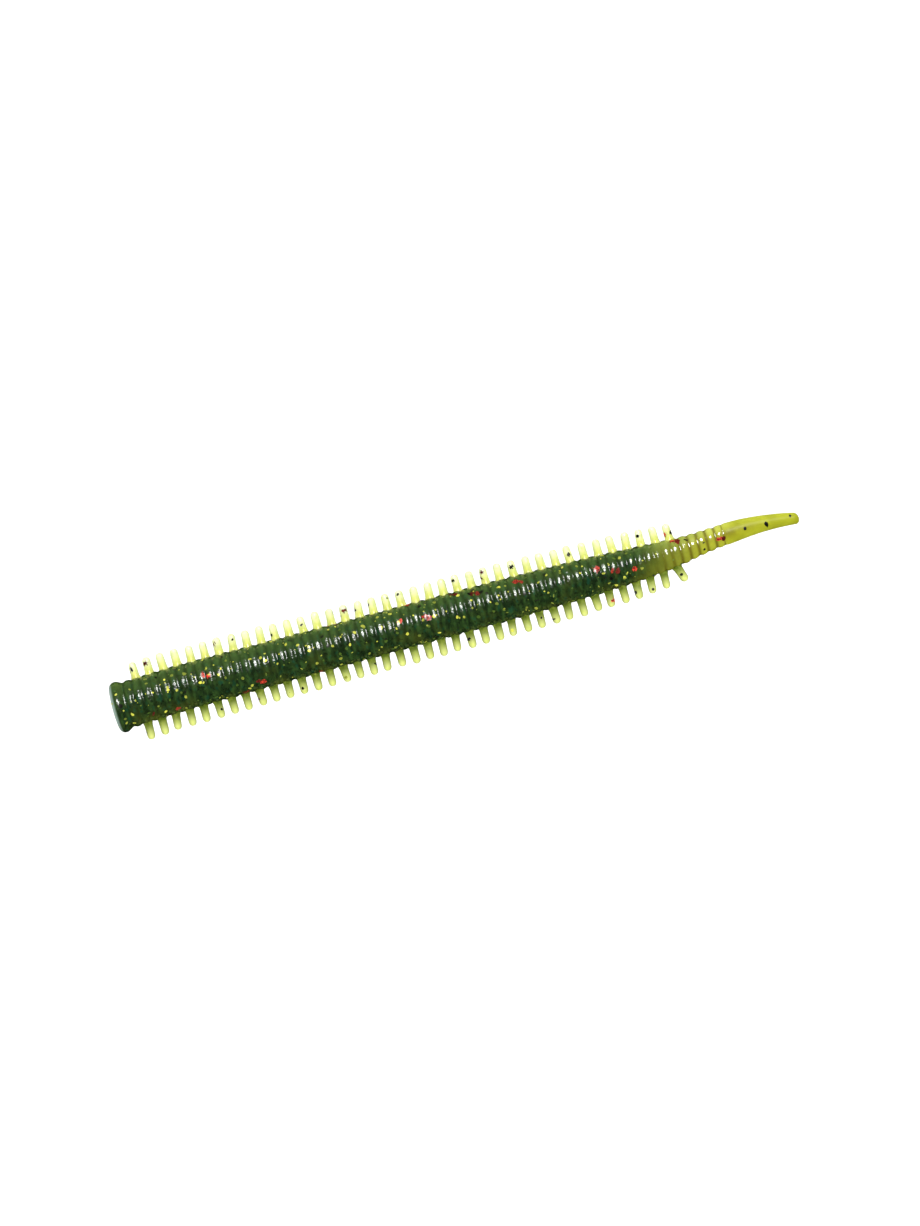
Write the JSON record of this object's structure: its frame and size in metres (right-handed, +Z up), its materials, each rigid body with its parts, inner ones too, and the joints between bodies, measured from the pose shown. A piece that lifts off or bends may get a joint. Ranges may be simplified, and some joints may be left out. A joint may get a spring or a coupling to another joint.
{
  "type": "soft plastic fishing worm",
  "caption": "Soft plastic worm with a ribbed, tapering body, a rounded collar round its flat nose, a row of short rod-shaped legs down each side, and a smooth pointed tail.",
  "frame": {"origin": "the middle of the nose's flat face", "axes": "+X from the nose to the tail, +Y to the worm's right as it crawls belly down, along its legs, +Z up from its back"},
  "size_m": [0.1269, 0.0142, 0.0092],
  "materials": {
    "skin": "glossy, translucent, with glitter",
    "core": "glossy",
    "legs": "glossy, translucent, with glitter",
    "neck": "glossy, translucent, with glitter",
    "tail": "glossy, translucent"
  },
  "bodies": {
    "body_row_01": {"nose_collar": "skin", "core_nose": "core", "body_section_01": "skin"},
    "core_01": {"core_bead_01": "core"},
    "left_legs_row_01": {"left_legs_01": "legs"},
    "right_legs_row_01": {"right_legs_01": "legs"},
    "body_row_02": {"body_section_02": "skin"},
    "core_02": {"core_bead_02": "core"},
    "left_legs_row_02": {"left_legs_02": "legs"},
    "right_legs_row_02": {"right_legs_02": "legs"},
    "body_row_03": {"body_section_03": "skin"},
    "core_03": {"core_bead_03": "core"},
    "left_legs_row_03": {"left_legs_03": "legs"},
    "right_legs_row_03": {"right_legs_03": "legs"},
    "body_row_04": {"body_section_04": "skin"},
    "core_04": {"core_bead_04": "core"},
    "left_legs_row_04": {"left_legs_04": "legs"},
    "right_legs_row_04": {"right_legs_04": "legs"},
    "body_row_05": {"body_section_05": "skin"},
    "core_05": {"core_bead_05": "core"},
    "left_legs_row_05": {"left_legs_05": "legs"},
    "right_legs_row_05": {"right_legs_05": "legs"},
    "body_row_06": {"body_section_06": "skin"},
    "core_06": {"core_bead_06": "core"},
    "left_legs_row_06": {"left_legs_06": "legs"},
    "right_legs_row_06": {"right_legs_06": "legs"},
    "body_row_07": {"body_section_07": "skin"},
    "core_07": {"core_bead_07": "core"},
    "left_legs_row_07": {"left_legs_07": "legs"},
    "right_legs_row_07": {"right_legs_07": "legs"},
    "body_row_08": {"body_section_08": "skin"},
    "core_08": {"core_bead_08": "core"},
    "left_legs_row_08": {"left_legs_08": "legs"},
    "right_legs_row_08": {"right_legs_08": "legs"},
    "body_row_09": {"body_section_09": "skin"},
    "core_09": {"core_bead_09": "core"},
    "left_legs_row_09": {"left_legs_09": "legs"},
    "right_legs_row_09": {"right_legs_09": "legs"},
    "body_row_10": {"body_section_10": "skin"},
    "core_10": {"core_bead_10": "core"},
    "left_legs_row_10": {"left_legs_10": "legs"},
    "right_legs_row_10": {"right_legs_10": "legs"},
    "body_row_11": {"body_section_11": "skin"},
    "core_11": {"core_bead_11": "core"},
    "left_legs_row_11": {"left_legs_11": "legs"},
    "right_legs_row_11": {"right_legs_11": "legs"},
    "body_row_12": {"body_section_12": "skin"},
    "core_12": {"core_bead_12": "core"},
    "left_legs_row_12": {"left_legs_12": "legs"},
    "right_legs_row_12": {"right_legs_12": "legs"},
    "body_row_13": {"body_section_13": "skin"},
    "core_13": {"core_bead_13": "core"},
    "left_legs_row_13": {"left_legs_13": "legs"},
    "right_legs_row_13": {"right_legs_13": "legs"},
    "neck": {"ribbed_neck": "neck"},
    "tail_1": {"tail_section_1": "tail"},
    "tail_2": {"tail_section_2": "tail"},
    "tail_3": {"tail_section_3": "tail"},
    "tail_4": {"tail_section_4": "tail"}
  },
  "joints": [
    {"name": "curl_tail_1", "type": "hinge", "parent": "neck", "child": "tail_1", "pos_m": [0.11314, 0.00099, 0], "axis": [0.0017, 0, 1], "range_deg": [-20, 20], "stiffness_Nm_per_rad": 0.000216},
    {"name": "curl_tail_2", "type": "hinge", "parent": "tail_1", "child": "tail_2", "pos_m": [0.11664, 0.00118, 0], "axis": [0, -1, 0], "range_deg": [-20, 20], "stiffness_Nm_per_rad": 0.000141},
    {"name": "curl_tail_3", "type": "hinge", "parent": "tail_2", "child": "tail_3", "pos_m": [0.12014, 0.00118, 0], "axis": [0.0017, 0, 1], "range_deg": [-20, 20], "stiffness_Nm_per_rad": 0.000068},
    {"name": "curl_tail_4", "type": "hinge", "parent": "tail_3", "child": "tail_4", "pos_m": [0.12362, 0.00087, 0], "axis": [-0.1564, -0.9877, 0], "range_deg": [-20, 20], "stiffness_Nm_per_rad": 0.0000297},
    {"name": "row_01_bend_side", "type": "hinge", "parent": "body_row_01", "child": "core_01", "pos_m": [0.01158, 0, 0], "axis": [0.0017, 0, 1], "range_deg": [-9, 9], "stiffness_Nm_per_rad": 0.00236},
    {"name": "row_01_bend_up", "type": "hinge", "parent": "core_01", "child": "body_row_02", "pos_m": [0.01158, 0, 0], "axis": [0.0017, -1, 0], "range_deg": [-12, 12], "stiffness_Nm_per_rad": 0.00236},
    {"name": "row_01_right_legs", "type": "hinge", "parent": "body_row_01", "child": "right_legs_row_01", "pos_m": [0.00769, 0.00414, 0], "axis": [-1, 0.003, 0], "range_deg": [-30, 30], "stiffness_Nm_per_rad": 0.00002},
    {"name": "row_01_left_legs", "type": "hinge", "parent": "body_row_01", "child": "left_legs_row_01", "pos_m": [0.00769, -0.00414, 0], "axis": [1, 0.003, 0], "range_deg": [-30, 30], "stiffness_Nm_per_rad": 0.00002},
    {"name": "row_02_bend_side", "type": "hinge", "parent": "body_row_02", "child": "core_02", "pos_m": [0.01935, 0, 0], "axis": [0.0017, 0, 1], "range_deg": [-9, 9], "stiffness_Nm_per_rad": 0.00225},
    {"name": "row_02_bend_up", "type": "hinge", "parent": "core_02", "child": "body_row_03", "pos_m": [0.01935, 0, 0], "axis": [0.0017, -1, 0], "range_deg": [-12, 12], "stiffness_Nm_per_rad": 0.00225},
    {"name": "row_02_right_legs", "type": "hinge", "parent": "body_row_02", "child": "right_legs_row_02", "pos_m": [0.01546, 0.0041, 0], "axis": [-1, 0.0066, 0], "range_deg": [-30, 30], "stiffness_Nm_per_rad": 0.00002},
    {"name": "row_02_left_legs", "type": "hinge", "parent": "body_row_02", "child": "left_legs_row_02", "pos_m": [0.01546, -0.0041, 0], "axis": [1, 0.0066, 0], "range_deg": [-30, 30], "stiffness_Nm_per_rad": 0.00002},
    {"name": "row_03_bend_side", "type": "hinge", "parent": "body_row_03", "child": "core_03", "pos_m": [0.02712, 0, 0], "axis": [0.0017, 0, 1], "range_deg": [-9, 9], "stiffness_Nm_per_rad": 0.00206},
    {"name": "row_03_bend_up", "type": "hinge", "parent": "core_03", "child": "body_row_04", "pos_m": [0.02712, 0, 0], "axis": [0.0017, -1, 0], "range_deg": [-12, 12], "stiffness_Nm_per_rad": 0.00206},
    {"name": "row_03_right_legs", "type": "hinge", "parent": "body_row_03", "child": "right_legs_row_03", "pos_m": [0.02323, 0.00403, 0], "axis": [-0.9999, 0.011, 0], "range_deg": [-30, 30], "stiffness_Nm_per_rad": 0.00002},
    {"name": "row_03_left_legs", "type": "hinge", "parent": "body_row_03", "child": "left_legs_row_03", "pos_m": [0.02323, -0.00403, 0], "axis": [0.9999, 0.011, 0], "range_deg": [-30, 30], "stiffness_Nm_per_rad": 0.00002},
    {"name": "row_04_bend_side", "type": "hinge", "parent": "body_row_04", "child": "core_04", "pos_m": [0.03488, 0, 0], "axis": [0.0017, 0, 1], "range_deg": [-9, 9], "stiffness_Nm_per_rad": 0.00192},
    {"name": "row_04_bend_up", "type": "hinge", "parent": "core_04", "child": "body_row_05", "pos_m": [0.03488, 0, 0], "axis": [0.0017, -1, 0], "range_deg": [-12, 12], "stiffness_Nm_per_rad": 0.00192},
    {"name": "row_04_right_legs", "type": "hinge", "parent": "body_row_04", "child": "right_legs_row_04", "pos_m": [0.031, 0.00395, 0], "axis": [-1, 0.0089, 0], "range_deg": [-30, 30], "stiffness_Nm_per_rad": 0.00002},
    {"name": "row_04_left_legs", "type": "hinge", "parent": "body_row_04", "child": "left_legs_row_04", "pos_m": [0.031, -0.00395, 0], "axis": [1, 0.0089, 0], "range_deg": [-30, 30], "stiffness_Nm_per_rad": 0.00002},
    {"name": "row_05_bend_side", "type": "hinge", "parent": "body_row_05", "child": "core_05", "pos_m": [0.04265, 0, 0], "axis": [0.0017, 0, 1], "range_deg": [-9, 9], "stiffness_Nm_per_rad": 0.00182},
    {"name": "row_05_bend_up", "type": "hinge", "parent": "core_05", "child": "body_row_06", "pos_m": [0.04265, 0, 0], "axis": [0.0017, -1, 0], "range_deg": [-12, 12], "stiffness_Nm_per_rad": 0.00182},
    {"name": "row_05_right_legs", "type": "hinge", "parent": "body_row_05", "child": "right_legs_row_05", "pos_m": [0.03877, 0.00389, 0], "axis": [-1, 0.0071, 0], "range_deg": [-30, 30], "stiffness_Nm_per_rad": 0.00002},
    {"name": "row_05_left_legs", "type": "hinge", "parent": "body_row_05", "child": "left_legs_row_05", "pos_m": [0.03877, -0.00389, 0], "axis": [1, 0.0071, 0], "range_deg": [-30, 30], "stiffness_Nm_per_rad": 0.00002},
    {"name": "row_06_bend_side", "type": "hinge", "parent": "body_row_06", "child": "core_06", "pos_m": [0.05042, 0, 0], "axis": [0.0017, 0, 1], "range_deg": [-9, 9], "stiffness_Nm_per_rad": 0.00174},
    {"name": "row_06_bend_up", "type": "hinge", "parent": "core_06", "child": "body_row_07", "pos_m": [0.05042, 0, 0], "axis": [0.0017, -1, 0], "range_deg": [-12, 12], "stiffness_Nm_per_rad": 0.00174},
    {"name": "row_06_right_legs", "type": "hinge", "parent": "body_row_06", "child": "right_legs_row_06", "pos_m": [0.04654, 0.00384, 0], "axis": [-1, 0.0058, 0], "range_deg": [-30, 30], "stiffness_Nm_per_rad": 0.00002},
    {"name": "row_06_left_legs", "type": "hinge", "parent": "body_row_06", "child": "left_legs_row_06", "pos_m": [0.04654, -0.00384, 0], "axis": [1, 0.0058, 0], "range_deg": [-30, 30], "stiffness_Nm_per_rad": 0.00002},
    {"name": "row_07_bend_side", "type": "hinge", "parent": "body_row_07", "child": "core_07", "pos_m": [0.05819, 0, 0], "axis": [0.0017, 0, 1], "range_deg": [-9, 9], "stiffness_Nm_per_rad": 0.00169},
    {"name": "row_07_bend_up", "type": "hinge", "parent": "core_07", "child": "body_row_08", "pos_m": [0.05819, 0, 0], "axis": [0.0017, -1, 0], "range_deg": [-12, 12], "stiffness_Nm_per_rad": 0.00169},
    {"name": "row_07_right_legs", "type": "hinge", "parent": "body_row_07", "child": "right_legs_row_07", "pos_m": [0.05431, 0.0038, 0], "axis": [-1, 0.0033, 0], "range_deg": [-30, 30], "stiffness_Nm_per_rad": 0.00002},
    {"name": "row_07_left_legs", "type": "hinge", "parent": "body_row_07", "child": "left_legs_row_07", "pos_m": [0.05431, -0.0038, 0], "axis": [1, 0.0033, 0], "range_deg": [-30, 30], "stiffness_Nm_per_rad": 0.00002},
    {"name": "row_08_bend_side", "type": "hinge", "parent": "body_row_08", "child": "core_08", "pos_m": [0.06596, 0, 0], "axis": [0.0017, 0, 1], "range_deg": [-9, 9], "stiffness_Nm_per_rad": 0.00167},
    {"name": "row_08_bend_up", "type": "hinge", "parent": "core_08", "child": "body_row_09", "pos_m": [0.06596, 0, 0], "axis": [0.0017, -1, 0], "range_deg": [-12, 12], "stiffness_Nm_per_rad": 0.00167},
    {"name": "row_08_right_legs", "type": "hinge", "parent": "body_row_08", "child": "right_legs_row_08", "pos_m": [0.06208, 0.00379, 0], "axis": [-1, 0.0016, 0], "range_deg": [-30, 30], "stiffness_Nm_per_rad": 0.00002},
    {"name": "row_08_left_legs", "type": "hinge", "parent": "body_row_08", "child": "left_legs_row_08", "pos_m": [0.06208, -0.00379, 0], "axis": [1, 0.0016, 0], "range_deg": [-30, 30], "stiffness_Nm_per_rad": 0.00002},
    {"name": "row_09_bend_side", "type": "hinge", "parent": "body_row_09", "child": "core_09", "pos_m": [0.07373, 0, 0], "axis": [0.0017, 0, 1], "range_deg": [-9, 9], "stiffness_Nm_per_rad": 0.00159},
    {"name": "row_09_bend_up", "type": "hinge", "parent": "core_09", "child": "body_row_10", "pos_m": [0.07373, 0, 0], "axis": [0.0017, -1, 0], "range_deg": [-12, 12], "stiffness_Nm_per_rad": 0.00159},
    {"name": "row_09_right_legs", "type": "hinge", "parent": "body_row_09", "child": "right_legs_row_09", "pos_m": [0.06985, 0.00376, 0], "axis": [-1, 0.0054, 0], "range_deg": [-30, 30], "stiffness_Nm_per_rad": 0.00002},
    {"name": "row_09_left_legs", "type": "hinge", "parent": "body_row_09", "child": "left_legs_row_09", "pos_m": [0.06985, -0.00376, 0], "axis": [1, 0.0054, 0], "range_deg": [-30, 30], "stiffness_Nm_per_rad": 0.00002},
    {"name": "row_10_bend_side", "type": "hinge", "parent": "body_row_10", "child": "core_10", "pos_m": [0.0815, 0, 0], "axis": [0.0017, 0, 1], "range_deg": [-9, 9], "stiffness_Nm_per_rad": 0.00137},
    {"name": "row_10_bend_up", "type": "hinge", "parent": "core_10", "child": "body_row_11", "pos_m": [0.0815, 0, 0], "axis": [0.0017, -1, 0], "range_deg": [-12, 12], "stiffness_Nm_per_rad": 0.00137},
    {"name": "row_10_right_legs", "type": "hinge", "parent": "body_row_10", "child": "right_legs_row_10", "pos_m": [0.07762, 0.00367, 0], "axis": [-0.9998, 0.0175, 0], "range_deg": [-30, 30], "stiffness_Nm_per_rad": 0.00002},
    {"name": "row_10_left_legs", "type": "hinge", "parent": "body_row_10", "child": "left_legs_row_10", "pos_m": [0.07762, -0.00367, 0], "axis": [0.9998, 0.0175, 0], "range_deg": [-30, 30], "stiffness_Nm_per_rad": 0.00002},
    {"name": "row_11_bend_side", "type": "hinge", "parent": "body_row_11", "child": "core_11", "pos_m": [0.08927, 0, 0], "axis": [0.0017, 0, 1], "range_deg": [-9, 9], "stiffness_Nm_per_rad": 0.00109},
    {"name": "row_11_bend_up", "type": "hinge", "parent": "core_11", "child": "body_row_12", "pos_m": [0.08927, 0, 0], "axis": [0.0017, -1, 0], "range_deg": [-12, 12], "stiffness_Nm_per_rad": 0.00109},
    {"name": "row_11_right_legs", "type": "hinge", "parent": "body_row_11", "child": "right_legs_row_11", "pos_m": [0.08539, 0.00351, 0], "axis": [-0.9997, 0.026, 0], "range_deg": [-30, 30], "stiffness_Nm_per_rad": 0.00002},
    {"name": "row_11_left_legs", "type": "hinge", "parent": "body_row_11", "child": "left_legs_row_11", "pos_m": [0.08539, -0.00351, 0], "axis": [0.9997, 0.026, 0], "range_deg": [-30, 30], "stiffness_Nm_per_rad": 0.00002},
    {"name": "row_12_bend_side", "type": "hinge", "parent": "body_row_12", "child": "core_12", "pos_m": [0.09705, 0, 0], "axis": [0.0017, 0, 1], "range_deg": [-9, 9], "stiffness_Nm_per_rad": 0.000681},
    {"name": "row_12_bend_up", "type": "hinge", "parent": "core_12", "child": "body_row_13", "pos_m": [0.09705, 0, 0], "axis": [0.0017, -1, 0], "range_deg": [-12, 12], "stiffness_Nm_per_rad": 0.000681},
    {"name": "row_12_right_legs", "type": "hinge", "parent": "body_row_12", "child": "right_legs_row_12", "pos_m": [0.09316, 0.00322, 0], "axis": [-0.9988, 0.049, 0], "range_deg": [-30, 30], "stiffness_Nm_per_rad": 0.00002},
    {"name": "row_12_left_legs", "type": "hinge", "parent": "body_row_12", "child": "left_legs_row_12", "pos_m": [0.09316, -0.00322, 0], "axis": [0.9988, 0.049, 0], "range_deg": [-30, 30], "stiffness_Nm_per_rad": 0.00002},
    {"name": "row_13_bend_side", "type": "hinge", "parent": "body_row_13", "child": "core_13", "pos_m": [0.10482, 0, 0], "axis": [0.0017, 0, 1], "range_deg": [-15.8, 2.2], "stiffness_Nm_per_rad": 0.000277},
    {"name": "row_13_bend_up", "type": "hinge", "parent": "core_13", "child": "neck", "pos_m": [0.10482, 0, 0], "axis": [0.1184, -0.993, 0], "range_deg": [-12, 12], "stiffness_Nm_per_rad": 0.000277},
    {"name": "row_13_right_legs", "type": "hinge", "parent": "body_row_13", "child": "right_legs_row_13", "pos_m": [0.10093, 0.00274, 0], "axis": [-0.9971, 0.0765, 0], "range_deg": [-30, 30], "stiffness_Nm_per_rad": 0.00002},
    {"name": "row_13_left_legs", "type": "hinge", "parent": "body_row_13", "child": "left_legs_row_13", "pos_m": [0.10093, -0.00274, 0], "axis": [0.9971, 0.0765, 0], "range_deg": [-30, 30], "stiffness_Nm_per_rad": 0.00002}
  ]
}
